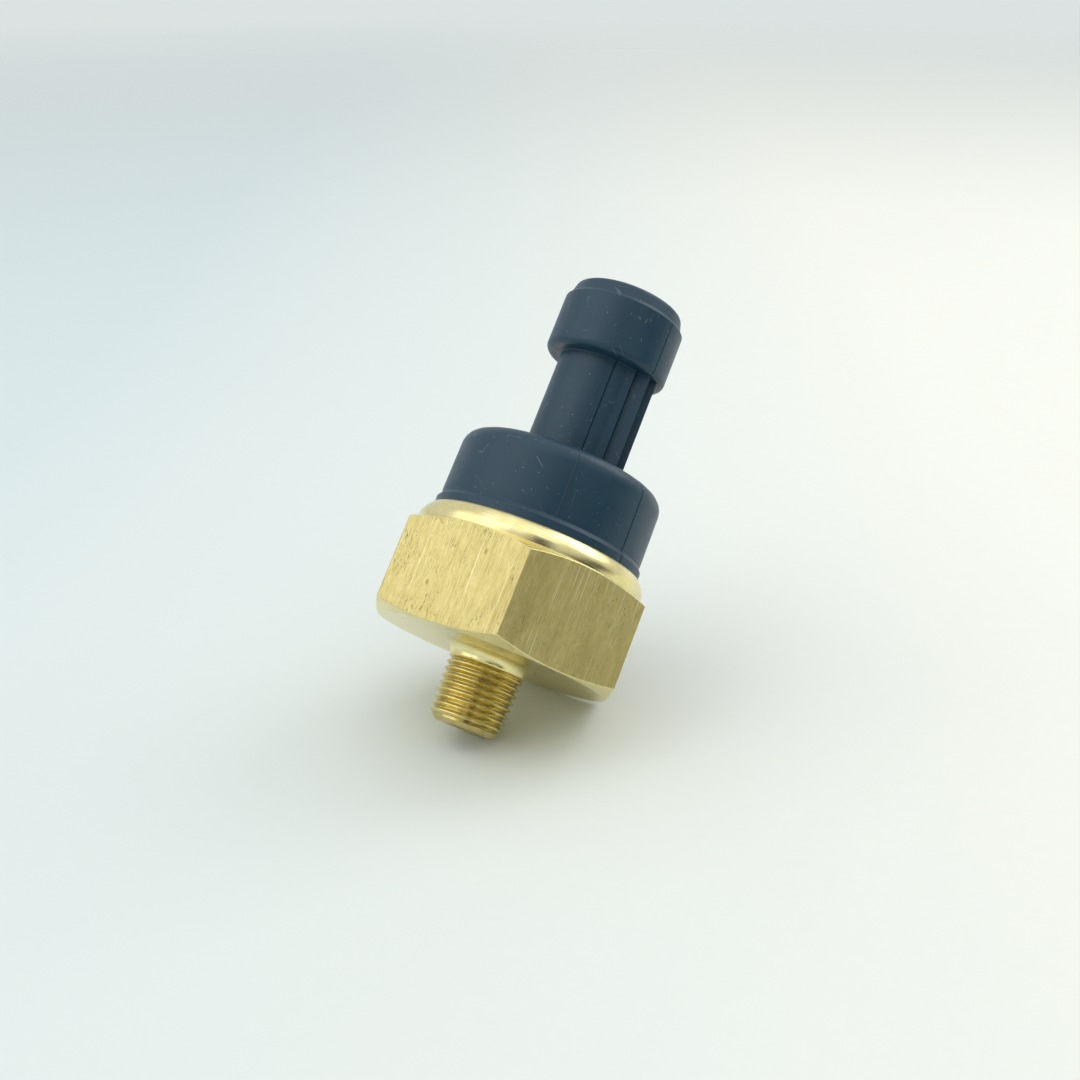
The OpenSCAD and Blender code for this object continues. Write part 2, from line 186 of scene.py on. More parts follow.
def drawn_brass():
    """Flats of the drawn hexagon bar: streaks along the bar, short scores, pits and dull patches."""
    material, n = new_material("drawn_brass")
    place = n.spot()
    wide = n.noise(n.spot((1, 1, 0.03)), 1.3, 5)
    fine = n.noise(n.spot((1, 1, 0.06)), 9.0, 4, 0.7)
    scores = n.noise(n.spot((1, 1, 0.22)), 6.5, 3, 0.6)
    patch = n.noise(n.spot((1, 1, 0.5)), 0.2, 4)
    cloud = n.noise(place, 0.9, 5, 0.6)
    grain = n.noise(place, 11.0, 3)
    score_zone = n.ramp(n.noise(place, 0.22, 3), 0.46, 0.60)
    score = n.math("MULTIPLY", n.ramp(scores, 0.58, 0.68), score_zone)
    bright = n.ramp(n.noise(n.spot((1, 1, 0.02), (0, 0, 0.3)), 3.4, 2), 0.62, 0.70)
    pit = n.math("MULTIPLY", n.ramp(n.cells(n.spot((1, 1, 0.45)), 0.8), 0.08, 0.20, 1, 0),
                 n.ramp(n.noise(place, 0.3, 2), 0.55, 0.63))
    base = n.mix(n.ramp(cloud, 0.3, 0.72), rgb(208, 194, 128), rgb(220, 207, 143))
    base = n.mix(n.math("MULTIPLY", n.ramp(wide, 0.48, 0.70), 0.40), base, rgb(188, 169, 102))
    base = n.mix(n.math("MULTIPLY", n.ramp(fine, 0.50, 0.64), 0.48), base, rgb(158, 140, 82))
    base = n.mix(n.math("MULTIPLY", n.ramp(patch, 0.52, 0.68), 0.38), base, rgb(160, 139, 82))
    base = n.mix(n.math("MULTIPLY", score, 0.75), base, rgb(92, 78, 46))
    base = n.mix(n.math("MULTIPLY", bright, 0.6), base, rgb(246, 238, 186))
    base = n.mix(n.math("MULTIPLY", pit, 0.6), base, rgb(104, 92, 58))
    rough = n.ramp(fine, 0.3, 0.7, 0.28, 0.42)
    rough = n.math("ADD", rough, n.ramp(patch, 0.5, 0.75, 0.0, 0.10))
    height = n.math("ADD", n.math("MULTIPLY", fine, 0.6), n.math("MULTIPLY", wide, 0.4))
    normal = n.bump(height, 0.14, 0.6)
    normal = n.bump(grain, 0.05, 0.6, normal)
    normal = n.bump(n.math("SUBTRACT", 1.0, score), 0.04, 0.6, normal)
    n.surface({"Base Color": base, "Metallic": 1.0, "Roughness": rough, "Normal": normal})
    return material


def turned_brass(name, light, dark, stain_low, crest=None):
    """Turned faces of the same brass, with fine tool rings and stains above a noise level.

    With crest, the thread's crest radius at height 0 and its change with height, the roots get painted
    shade: they are darker the deeper they lie below the crest.
    """
    material, n = new_material(name)
    place = n.spot()
    flat = n.add("ShaderNodeVectorMath", {0: place, 1: (1, 1, 0)},
                 operation="MULTIPLY").outputs[0]
    radius = n.add("ShaderNodeVectorMath", {0: flat}, operation="LENGTH").outputs["Value"]
    height = n.add("ShaderNodeSeparateXYZ", {0: place}).outputs[2]
    across = n.add("ShaderNodeCombineXYZ", {0: radius, 1: height, 2: 0.0}).outputs[0]
    rings = n.noise(across, 5.0, 5, 0.6)
    cloud = n.noise(place, 0.7, 4)
    stain = n.ramp(n.noise(place, 0.45, 5, 0.65), stain_low, stain_low + 0.12)
    base = n.mix(n.ramp(cloud, 0.3, 0.7), rgb(*dark), rgb(*light))
    base = n.mix(n.math("MULTIPLY", n.ramp(rings, 0.5, 0.75), 0.25), base, rgb(190, 164, 96))
    base = n.mix(n.math("MULTIPLY", stain, 0.35), base, rgb(150, 122, 66))
    if crest is not None:
        top_r, slope = crest
        # Painted shade in the thread's roots, darker with depth below the crest.
        edge = n.math("ADD", n.math("MULTIPLY", height, slope), top_r)
        root = n.ramp(n.math("SUBTRACT", edge, radius), 0.12, THREAD_DEPTH * 0.9)
        base = n.mix(n.math("MULTIPLY", root, 0.32), base, rgb(118, 92, 44))
    rough = n.math("ADD", n.ramp(rings, 0.3, 0.7, 0.18, 0.27),
                   n.math("MULTIPLY", stain, 0.12))
    normal = n.bump(rings, 0.05, 0.5)
    normal = n.bump(n.noise(place, 12.0, 3), 0.01, 0.35, normal)
    n.surface({"Base Color": base, "Metallic": 1.0, "Roughness": rough, "Normal": normal})
    return material


def plastic_material():
    """Black glass-filled nylon: satin, with a fine grain, light scuffs, thin scratches and specks."""
    material, n = new_material("black_plastic")
    place = n.spot()
    cloud = n.noise(place, 0.35, 4)
    grain = n.noise(place, 16.0, 3)
    flow = n.noise(n.spot((1, 1, 0.12)), 2.2, 4)
    specks = n.cells(place, 1.7)
    speck = n.math("MULTIPLY", n.ramp(specks, 0.05, 0.10, 1, 0),
                   n.ramp(n.noise(place, 0.8, 2), 0.50, 0.56))
    slanted = n.add("ShaderNodeMapping", {"Vector": place, "Rotation": (0.5, 0.9, 0.4)}).outputs[0]
    lines = n.add("ShaderNodeMapping", {"Vector": slanted, "Scale": (1, 1, 0.04)}).outputs[0]
    near_line = n.math("ABSOLUTE", n.math("SUBTRACT", n.noise(lines, 0.40, 1, 0.3), 0.5))
    scratch = n.math("MULTIPLY", n.ramp(near_line, 0.0, 0.007, 1, 0),
                     n.ramp(n.noise(place, 0.40, 2), 0.58, 0.63))
    base = n.mix(cloud, rgb(17, 52, 70), rgb(23, 60, 78))
    base = n.mix(n.math("MULTIPLY", scratch, 0.6), base, rgb(104, 120, 126))
    base = n.mix(n.math("MULTIPLY", speck, 0.85), base, rgb(176, 184, 184))
    rough = n.ramp(cloud, 0.3, 0.7, 0.34, 0.44)
    rough = n.math("ADD", rough, n.ramp(flow, 0.4, 0.7, 0.0, 0.06))
    normal = n.bump(grain, 0.02, 0.4)
    normal = n.bump(flow, 0.05, 0.18, normal)
    normal = n.bump(n.math("SUBTRACT", 1.0, scratch), 0.02, 0.4, normal)
    n.surface({"Base Color": base, "Roughness": rough, "Normal": normal,
               "Specular IOR Level": 0.43})
    return material


def metal_material(name, light, dark, rough_low, rough_high,
                   stretch=(1, 1, 1), scale=3.0, bump=0.02):
    """Plain metal with grain along one direction, dull patches and small marks."""
    material, n = new_material(name)
    grain = n.noise(n.spot(stretch), scale, 5)
    patch = n.noise(n.spot(), 0.5, 4)
    marks = n.ramp(n.cells(n.spot(), 2.3), 0.05, 0.1, 1, 0)
    marks = n.math("MULTIPLY", marks, n.ramp(patch, 0.5, 0.6))
    base = n.mix(n.ramp(grain, 0.3, 0.7), rgb(*dark), rgb(*light))
    base = n.mix(n.math("MULTIPLY", marks, 0.5), base, rgb(*[v * 0.5 for v in dark]))
    rough = n.math("ADD", n.ramp(grain, 0.3, 0.7, rough_low, rough_high),
                   n.ramp(patch, 0.5, 0.7, 0, 0.1))
    normal = n.bump(grain, bump, 0.5)
    n.surface({"Base Color": base, "Metallic": 1.0, "Roughness": rough, "Normal": normal})
    return material


def solid_material(name, light, dark, rough_low, rough_high,
                   scale=2.0, grain_scale=18.0, bump=0.02):
    """Moulded or sintered material with clouding, a fine grain and small dust specks."""
    material, n = new_material(name)
    cloud = n.noise(n.spot(), scale, 4)
    grain = n.noise(n.spot(), grain_scale, 3)
    dust = n.ramp(n.cells(n.spot(), 3.1), 0.04, 0.09, 1, 0)
    dust = n.math("MULTIPLY", dust, n.ramp(n.noise(n.spot(), 0.7, 2), 0.52, 0.62))
    base = n.mix(n.ramp(cloud, 0.3, 0.7), rgb(*dark), rgb(*light))
    base = n.mix(n.math("MULTIPLY", dust, 0.35), base, rgb(170, 170, 165))
    rough = n.ramp(cloud, 0.3, 0.7, rough_low, rough_high)
    n.surface({"Base Color": base, "Roughness": rough, "Normal": n.bump(grain, bump, 0.5)})
    return material


def make_materials():
    """One material for each material slot of the record."""
    return {
        "brass_body": turned_brass("turned_brass", (241, 230, 174), (230, 216, 150), 0.60),
        "black_plastic": plastic_material(),
        "rubber_seal": solid_material("rubber_seal", (38, 38, 40), (24, 24, 26), 0.45, 0.62,
                                      1.5, 12.0, 0.03),
        "diaphragm_film": solid_material("diaphragm_film", (206, 142, 62), (186, 122, 46),
                                         0.22, 0.34, 0.8),
        "steel": metal_material("steel", (206, 208, 210), (172, 175, 178), 0.22, 0.34,
                                (1, 1, 0.1)),
        "brass_ring": metal_material("brass_ring", (224, 198, 122), (196, 166, 92), 0.25, 0.38),
        "brown_phenolic": solid_material("brown_phenolic", (124, 78, 46), (96, 58, 34),
                                         0.4, 0.55, 3.0),
        "ceramic": solid_material("ceramic", (238, 236, 228), (222, 219, 208), 0.28, 0.4, 1.2),
        "spring_copper": metal_material("spring_copper", (216, 150, 104), (186, 118, 78),
                                        0.2, 0.32, (0.1, 1, 1)),
        "silver_contact": metal_material("silver_contact", (232, 232, 230), (202, 200, 196),
                                         0.25, 0.4),
        "tinned_terminal": metal_material("tinned_terminal", (222, 218, 206), (196, 190, 172),
                                          0.26, 0.42, (1, 1, 0.08), 4.0, 0.015),
        "brass_rivet": metal_material("brass_rivet", (214, 184, 108), (184, 150, 80), 0.25, 0.4),
        "spring_steel": metal_material("spring_steel", (186, 190, 196), (150, 154, 160),
                                       0.2, 0.3),
        "red_base": solid_material("red_base", (168, 62, 46), (142, 46, 34), 0.38, 0.5, 2.5),
        "sealant": solid_material("sealant", (34, 34, 37), (22, 22, 24), 0.22, 0.36,
                                  0.9, 2.2, 0.08),
    }


# ---------------------------------------------------------------- mesh helpers

ARC_MARGIN = 0.12       # how far past an arc's end its extra point lies, as a share of the radius


def rounded(corners, steps=4):
    """Polyline through [r, z, radius] corners, each round one as an arc with a point at each side."""
    points = []
    last = len(corners) - 1
    for i, (r, z, radius) in enumerate(corners):
        here = Vector((r, z))
        if radius <= 0 or i in (0, last):
            points.append(here)
            continue
        back = (Vector(corners[i - 1][:2]) - here).normalized()
        on = (Vector(corners[i + 1][:2]) - here).normalized()
        half = back.angle(on, math.pi) / 2
        reach = radius / math.tan(half)
        inward = (back + on).normalized()
        middle = here + inward * (radius / math.sin(half))
        first, final = here + back * reach, here + on * reach
        points.append(first + back * radius * ARC_MARGIN)
        a = math.atan2(first.y - middle.y, first.x - middle.x)
        b = math.atan2(final.y - middle.y, final.x - middle.x)
        turn = (b - a + math.pi) % (2 * math.pi) - math.pi
        for k in range(steps + 1):
            t = a + turn * k / steps
            points.append(middle + radius * Vector((math.cos(t), math.sin(t))))
        points.append(final + on * radius * ARC_MARGIN)
    return points


def curve_through(points, steps=4):
    """Smooth [r, z] curve through points."""
    ends = [points[0]] + list(points) + [points[-1]]
    out = []
    for i in range(1, len(ends) - 2):
        p0, p1, p2, p3 = (Vector(p) for p in ends[i - 1:i + 3])
        for k in range(steps):
            t = k / steps
            out.append(0.5 * (2 * p1 + (p2 - p0) * t + (2 * p0 - 5 * p1 + 4 * p2 - p3) * t * t
                              + (3 * p1 - p0 - 3 * p2 + p3) * t ** 3))
    out.append(Vector(points[-1]))
    return out


def on_circle(r, z, degrees):
    a = math.radians(degrees)
    return Vector((r * math.cos(a), r * math.sin(a), z)) * MM


def add_skin(mesh, azimuths, lines):
    """Skin over one polyline of (r, z) points for each azimuth."""
    grid = [[mesh.verts.new(on_circle(p[0], p[1], a)) for p in line]
            for a, line in zip(azimuths, lines)]
    for left, right in zip(grid, grid[1:]):
        for k in range(len(left) - 1):
            mesh.faces.new((left[k], right[k], right[k + 1], left[k + 1]))


def add_lathe(mesh, columns, profile):
    """Closed skin of one polyline for each azimuth. Points on the axis merge later in clean."""
    azimuths = list(columns) + [columns[0] + 360]
    add_skin(mesh, azimuths, [profile(a) for a in azimuths])


def clean(mesh):
    bmesh.ops.remove_doubles(mesh, verts=mesh.verts, dist=0.0002 * MM)
    bmesh.ops.dissolve_degenerate(mesh, edges=mesh.edges, dist=0.0001 * MM)
    bmesh.ops.recalc_face_normals(mesh, faces=mesh.faces)


def finish_mesh(name, mesh, material, smooth_angle=32):
    """Object made from a bmesh, with sharp edges above an angle."""
    clean(mesh)
    for face in mesh.faces:
        face.smooth = True
    limit = math.radians(smooth_angle)
    for edge in mesh.edges:
        if len(edge.link_faces) == 2 and edge.calc_face_angle(0) > limit:
            edge.smooth = False
    data = bpy.data.meshes.new(name)
    mesh.to_mesh(data)
    mesh.free()
    data.materials.append(material)
    piece = bpy.data.objects.new(name, data)
    scene.collection.objects.link(piece)
    return piece


def wrapped(a, b):
    """Difference of two azimuths, from -180 to 180."""
    return (a - b + 180) % 360 - 180


def spaced(step, special):
    """Azimuths every few degrees, with the special ones added and their near neighbours left out."""
    out = sorted(s % 360 for s in special)
    a = 0.0
    while a < 360:
        if all(abs(wrapped(a, s)) > step * 0.45 for s in special):
            out.append(a)
        a += step
    return sorted(out)


# ---------------------------------------------------------------- brass body

COS_30 = math.cos(math.radians(30))
FLAT_R = 16.0           # half the width across the flats
CORNER_ROUND = 0.22
HEX_H = 13.4
LOW_FACE_R = 15.85      # radius of the flat lower face
HIGH_FACE_R = 15.95     # radius of the flat upper face
CHAMFER_LOW = 1.0 / (FLAT_R / COS_30 - LOW_FACE_R)      # rise of each chamfer with radius
CHAMFER_HIGH = 1.2 / (FLAT_R / COS_30 - HIGH_FACE_R)
CHAMFER_EDGE = 0.14     # rounding where a chamfer meets a flat
FILLET = 1.3            # round corner between the thread and the hexagon
PITCH = 0.941
TIP_Z = -10.05
TIP_R = 3.9
TIP_CHAMFER = 0.9
THREAD_DEPTH = 0.56
THREAD_TOP_R = 5.2      # crest radius at the thread's upper end
THREAD_TOP_Z = -1.8
TAPER = 1 / 32          # change of radius with height
THREAD_LEAD = 0.4       # distance below the tip at which the first turn starts
RUN_OUT = 0.5           # length over which the last groove fades away
BORE_R = 2.0
LIP = [(15.79, 13.47), (15.80, 13.95), (15.72, 14.5), (15.46, 15.1), (15.08, 15.65), (14.78, 16.0)]
LIP_TIP = (14.53, 16.2)
LIP_INSIDE = [(14.47, 15.7), (14.75, 15.0), (14.95, 14.35), (15.05, 13.8)]
CUP_R, CUP_FLOOR = 15.05, 11    # cup that the housing stands in
STACK_R, SEAT_Z = 12.6, 5       # bore for the switch's stack and the face under the diaphragm
SEAL_GROOVE = (9.2, 7.6, 3.7)   # its two radii and its floor
CHAMBER = (6, 3.6)              # radius and floor of the pressure chamber


def thread_r(z):
    """Crest radius of the tapered thread."""
    return THREAD_TOP_R + (z - THREAD_TOP_Z) * TAPER


def hexagon(azimuth):
    """Radius of the hexagon with slightly rounded corners, one of them at -90 degrees."""
    off = math.radians(abs((azimuth + 120) % 60 - 30))      # angle from the nearest corner
    middle = (FLAT_R - CORNER_ROUND) / COS_30
    edge = math.atan2(CORNER_ROUND / 2, middle + CORNER_ROUND * COS_30)
    if off < edge:
        return middle * math.cos(off) + math.sqrt(CORNER_ROUND ** 2 - (middle * math.sin(off)) ** 2)
    return FLAT_R / math.cos(math.radians(30) - off)


def hex_columns():
    """Azimuths of the body's outline, close together at the hexagon's corners."""
    special = []
    for c in range(6):
        special += [c * 60 - 30 + d for d in (-1.2, -0.42, -0.33, -0.17, 0, 0.17, 0.33, 0.42, 1.2)]
    return spaced(1.5, special)


def groove(phase):
    """Share of the thread's depth at a place along its pitch: 0 on the crest, 1 in the root."""
    across = abs((phase + 0.5) % 1 - 0.5) * 2
    crest_flat, root_flat = 0.10, 0.12
    return min(max((across - crest_flat) / (1 - crest_flat - root_flat), 0), 1)


def add_thread(mesh, columns):
    """Helical tapered thread from the chamfered tip to the fillet, on rows that follow the helix."""
    phases = [0, 0.05, 0.09, 0.25, 0.41, 0.45, 0.5, 0.55, 0.59, 0.75, 0.91, 0.95]
    turns = [k + p for k in range(-1, 12) for p in phases]
    top = -FILLET
    groove_top = top - 0.05
    azimuths = list(columns) + [columns[0] + 360]
    lines = []
    for a in azimuths:
        line = []
        for t in turns:
            z = min(max(TIP_Z - THREAD_LEAD + PITCH * (t + a / 360), TIP_Z), top)
            fade = min(max((groove_top - z) / RUN_OUT, 0), 1)
            phase = (z - TIP_Z + THREAD_LEAD) / PITCH - a / 360
            r = thread_r(z) - THREAD_DEPTH * groove(phase) * fade
            rise = (z - TIP_Z) / TIP_CHAMFER
            cone = TIP_R + (thread_r(TIP_Z + TIP_CHAMFER) - TIP_R) * rise
            line.append((min(r, cone), z))
        lines.append(line)
    add_skin(mesh, azimuths, lines)


def body_profile(azimuth):
    """Outline from the thread's fillet over the hexagon and the lip, and down the inside."""
    r = hexagon(azimuth)
    low_z = (r - LOW_FACE_R) * CHAMFER_LOW
    high_z = HEX_H - (r - HIGH_FACE_R) * CHAMFER_HIGH
    foot_r = thread_r(-FILLET) + FILLET
    steps = 8
    quarter = [math.radians(90 * k / steps) for k in range(steps + 1)]
    line = [Vector((foot_r - FILLET * math.cos(t), -FILLET + FILLET * math.sin(t))) for t in quarter]
    line += rounded([(foot_r, 0, 0), (LOW_FACE_R - 0.05, 0, 0.2), (r, low_z, CHAMFER_EDGE),
                     (r, high_z, CHAMFER_EDGE), (HIGH_FACE_R, HEX_H, 0)])[1:]
    line += [Vector((LIP[0][0] + 0.04, HEX_H)), Vector(LIP[0])]
    line += curve_through(LIP)
    line += rounded([(*LIP[-1], 0), (*LIP_TIP, 0.07), (*LIP_INSIDE[0], 0)])[1:]
    groove_out, groove_in, groove_z = SEAL_GROOVE
    chamber_r, chamber_z = CHAMBER
    inside = LIP_INSIDE[1:] + [
        (CUP_R, CUP_FLOOR), (STACK_R, CUP_FLOOR), (STACK_R, SEAT_Z), (groove_out, SEAT_Z),
        (groove_out, groove_z), (groove_in, groove_z), (groove_in, SEAT_Z), (chamber_r, SEAT_Z),
        (chamber_r, chamber_z), (BORE_R, chamber_z), (BORE_R, TIP_Z + 0.2), (BORE_R + 0.2, TIP_Z),
        (TIP_R, TIP_Z)]
    return line + [Vector(p) for p in inside]


def make_brass(materials):
    mesh = bmesh.new()
    columns = hex_columns()
    add_thread(mesh, columns)
    add_lathe(mesh, columns, body_profile)
    piece = finish_mesh("brass_hexagon_and_thread", mesh, materials["brass_body"], 24)
    piece.data.materials.append(drawn_brass())
    # The thread's brass is a darker copy of the turned brass. The extra darkness is painted shade, and
    # its stains start at a lower noise level.
    piece.data.materials.append(turned_brass("thread_brass_painted_shade", (236, 222, 156), (220, 204, 132),
                                             0.54, (thread_r(0), TAPER)))
    for face in piece.data.polygons:
        outside = 0 < face.center.z < HEX_H * MM and face.center.xy.length > LOW_FACE_R * MM
        if outside and abs(face.normal.z) < 0.2:
            face.material_index = 1
        if face.center.z < -(FILLET + 0.1) * MM:
            face.material_index = 2
    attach(piece, ROOT)
    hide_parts("hex_body")


# ---------------------------------------------------------------- housing

CAP_R, CAP_TOP_R = 14.14, 14.05        # radius of the cap above its cove and at its top
CAP_TOP = 27.5
CAP_ROUND = 2.2
FLANGE_R = 14.45        # radius at the crimped lip
LIP_Z = 16.2
COVE_R, COVE_Z = 14.05, 17.8           # foot of the cap, above the flange
NECK_R = 6.2
RAIL_X, RAIL_HALF = 6.3, 4.58
RAIL_DRAFT = 0.12       # slope of the rail's sides
RAIL_FOOT = 46.5        # azimuth where the rail's side meets the neck
STRIP_FROM, STRIP_TO = 50.5, 60.0      # azimuths of the flat strip beside the rail
STRIP_FACES, STRIP_R = 75.0, 6.02      # azimuth that it faces and its distance from the axis
# V lines down the neck: azimuth, half width in degrees and depth
NECK_LINES = [(77.9, 1.6, 0.16), (61.0, 0.9, 0.05), (RAIL_FOOT, 1.2, 0.22)]
PANEL_TO, PANEL_RISE = 77, 0.05        # raised part of the neck beyond the strip
RIDGE_X, RIDGE_HALF = 7.35, 3.0
HEAD_LOW, HEAD_TOP, HEAD_R = 42.05, 52.25, 8.5
HEAD_SIDE_TOP = 49.85
RIM = [(8.02, 50.35, 0.3), (7.5, HEAD_TOP, 0.75)]      # narrower rim of the end ring
MOUTH_R, MOUTH_Z = 6.6, 43.5
SOCKET_R, SOCKET_LOW = 5.0, 33.0
KEY_X, KEY_HALF = 5.9, 1.5
SEAM = -40.6            # azimuth of the mould's parting line
FLASH = -84.6           # azimuth of a thin flash line on the cap
STEP = 0.04             # mismatch of the two halves of the mould
CAP_SEAM = (0.45, 0.14)                # half width in degrees and depth of the parting line
HEAD_SEAM = (0.7, 0.08)                # the same on the end ring
CAP_FLASH = (0.3, 0.08)                # half width in degrees and height of the flash line
# From the roof of the contact chamber down to the housing's foot, and up to the crimped lip
HOUSING_INSIDE = [(0, 22), (9.8, 22), (9.8, 20.5), (11.2, 20.5), (11.2, 11), (13.3, 11),
                  (13.3, 12.5), (15.02, 12.5), (15.02, 13.8), (14.92, 14.35), (14.72, 15.0),
                  (14.46, 15.7), (FLANGE_R, LIP_Z)]


def dent(azimuth, at, half_width, depth):
    """Depth of a narrow V at one azimuth."""
    return depth * max(0, 1 - abs(wrapped(azimuth, at)) / half_width)


def box_edge(azimuth, x, half, draft):
    """Distance from the axis to the outline of a bar along +X that narrows towards the axis."""
    a = math.radians(azimuth)
    if math.cos(a) <= 0:
        return 0
    side = abs(math.sin(a))
    if x * side <= half * math.cos(a):
        return x / math.cos(a)
    return (half - draft * x) / (side - draft * math.cos(a))


def neck_outline(azimuth):
    """Round neck with a shallow raised panel on each side and a stepped rail along +X."""
    off = abs(wrapped(azimuth, 0))
    r = NECK_R
    for at, half_width, depth in NECK_LINES:
        r -= dent(off, at, half_width, depth)
    if STRIP_FROM < off < STRIP_TO:
        r = max(r, STRIP_R / math.cos(math.radians(STRIP_FACES - off)))
    elif STRIP_TO <= off < PANEL_TO:
        r += PANEL_RISE
    return max(r, box_edge(azimuth, RAIL_X, RAIL_HALF, RAIL_DRAFT),
               box_edge(azimuth, RIDGE_X, RIDGE_HALF, 0))


def socket_outline(azimuth):
    """Round socket with a key slot along +X."""
    return max(SOCKET_R, box_edge(azimuth, KEY_X, KEY_HALF, 0))


def housing_columns():
    """Azimuths of the housing's outline, close together at its edges and lines."""
    special = []
    ridge = math.degrees(math.atan2(RIDGE_HALF, RIDGE_X))
    ridge_foot = math.degrees(math.atan2(RIDGE_HALF, RAIL_X))
    rail = math.degrees(math.atan2(RAIL_HALF, RAIL_X))
    key = math.degrees(math.atan2(KEY_HALF, KEY_X))
    key_foot = math.degrees(math.asin(KEY_HALF / SOCKET_R))
    for side in (-1, 1):
        for a, width in ((ridge, 0.35), (ridge_foot, 0.2), (rail, 0.35), (key, 0.3), (key_foot, 0.3)):
            special += [side * (a + d) for d in (-width, 0, width)]
        special += [side * (STRIP_FROM + d) for d in (-0.3, 0.1, 0.4)]
        for at, half_width, _ in NECK_LINES:
            special += [side * at + half_width * d for d in (-1.3, -1, -0.5, 0, 0.5, 1, 1.3)]
    special += [SEAM + d for d in (-0.9, -0.7, -0.45, -0.2, 0, 0.2, 0.45, 0.7, 0.9)]
    special += [FLASH + d for d in (-0.45, -0.3, 0, 0.3, 0.45)]
    return spaced(1.5, special)


def housing_profile(azimuth):
    """Outline from the roof of the contact chamber round the outside to the socket's floor."""
    seam = -dent(azimuth, SEAM, *CAP_SEAM)
    side = STEP if 0 < wrapped(azimuth, SEAM) < 180 else 0.0
    cap = seam + side + dent(azimuth, FLASH, *CAP_FLASH) - STEP
    head = side - dent(azimuth, SEAM, *HEAD_SEAM) - STEP
    neck = neck_outline(azimuth)
    socket = socket_outline(azimuth)
    line = [Vector(p) for p in HOUSING_INSIDE]
    line += rounded([(FLANGE_R + seam, LIP_Z, 0), (FLANGE_R + 0.02 + seam, 17.2, 0.07),
                     (COVE_R + cap, COVE_Z, 0.16), (CAP_R + cap, 18.4, 0)])
    line += rounded([(CAP_R + cap, 18.4, 0), (CAP_TOP_R + cap, CAP_TOP, CAP_ROUND),
                     (neck, CAP_TOP, 0.22), (neck, HEAD_LOW, 0.12),
                     (HEAD_R + head, HEAD_LOW, 0.85), (HEAD_R + head, HEAD_SIDE_TOP, 0.14), *RIM,
                     (MOUTH_R, HEAD_TOP, 0.12), (MOUTH_R, MOUTH_Z, 0.1), (socket, MOUTH_Z, 0.12),
                     (socket, SOCKET_LOW, 0)], 5)[1:]
    return line + [Vector((0, SOCKET_LOW))]


def make_housing(materials):
    mesh = bmesh.new()
    add_lathe(mesh, housing_columns(), housing_profile)
    piece = finish_mesh("connector_shell", mesh, materials["black_plastic"], 28)
    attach(piece, ROOT)
    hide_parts("connector_housing")


# ---------------------------------------------------------------- pieces that bend or shorten

DISC_UNDER = [(0.0, 7.95), (2.0, 7.96), (4.0, 8.03), (6.0, 8.24), (7.6, 8.42), (8.1, 8.45)]
DISC_OVER = [(8.1, 8.69), (7.6, 8.67), (6.0, 8.49), (4.0, 8.28), (2.0, 8.21), (0.0, 8.20)]
FILM_UNDER = [(0.0, 4.6), (3.0, 4.6), (4.7, 4.61), (5.2, 4.75), (5.6, 4.95), (6.0, 5.0), (12.5, 5.0)]
FILM_OVER = [(12.57, 5.19), (6.0, 5.19), (5.5, 5.14), (5.1, 4.92), (4.6, 4.79), (3.0, 4.79),
             (0.0, 4.79)]
COIL_R, WIRE_R = 1.6, 0.2
COIL_LOW, COIL_HIGH = 14.34, 17.99
COIL_TURNS = 5


def lens(name, under, over, material):
    """Thin round plate between two curves."""
    mesh = bmesh.new()
    add_lathe(mesh, spaced(3.0, []), lambda a: curve_through(under) + curve_through(over))
    return finish_mesh(name, mesh, material)


def coil(name, material):
    """Wire wound as a helix with closed ends."""
    mesh = bmesh.new()
    steps, sides = 40, 12
    rings = []
    for i in range(COIL_TURNS * steps + 1):
        rise = (COIL_HIGH - COIL_LOW - 2 * WIRE_R) * i / (COIL_TURNS * steps)
        z = COIL_LOW + WIRE_R + rise
        around = [math.tau * k / sides for k in range(sides)]
        rings.append([mesh.verts.new(on_circle(COIL_R + WIRE_R * math.cos(t), z + WIRE_R * math.sin(t),
                                               360 * i / steps)) for t in around])
    for first, second in zip(rings, rings[1:]):
        for k in range(sides):
            m = (k + 1) % sides
            mesh.faces.new((first[k], second[k], second[m], first[m]))
    mesh.faces.new(rings[0])
    mesh.faces.new(rings[-1][::-1])
    return finish_mesh(name, mesh, material)


def make_squashed(materials):
    disc = lens("snap_disc_spring", DISC_UNDER, DISC_OVER, materials["spring_steel"])
    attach(disc, ROOT)
    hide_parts("snap_disc")
    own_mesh(disc)

    film = lens("diaphragm_film", FILM_UNDER, FILM_OVER, materials["diaphragm_film"])
    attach(film, ROOT)
    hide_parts("diaphragm")
    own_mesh(film)

    spring = coil("return_spring_coil", materials["spring_steel"])
    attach(spring, ROOT)
    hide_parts("return_spring")
    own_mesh(spring)


# ---------------------------------------------------------------- stage and light

MIDDLE = Vector((0, 0, 0.02))   # point of the switch that the lights face


def lowest_along(direction):
    """Least distance along a direction of any point of the switch."""
    least = 1.0
    for thing in scene.objects:
        if thing.type == "MESH" and not thing.hide_render:
            for v in thing.data.vertices:
                least = min(least, direction.dot(v.co))
    return least


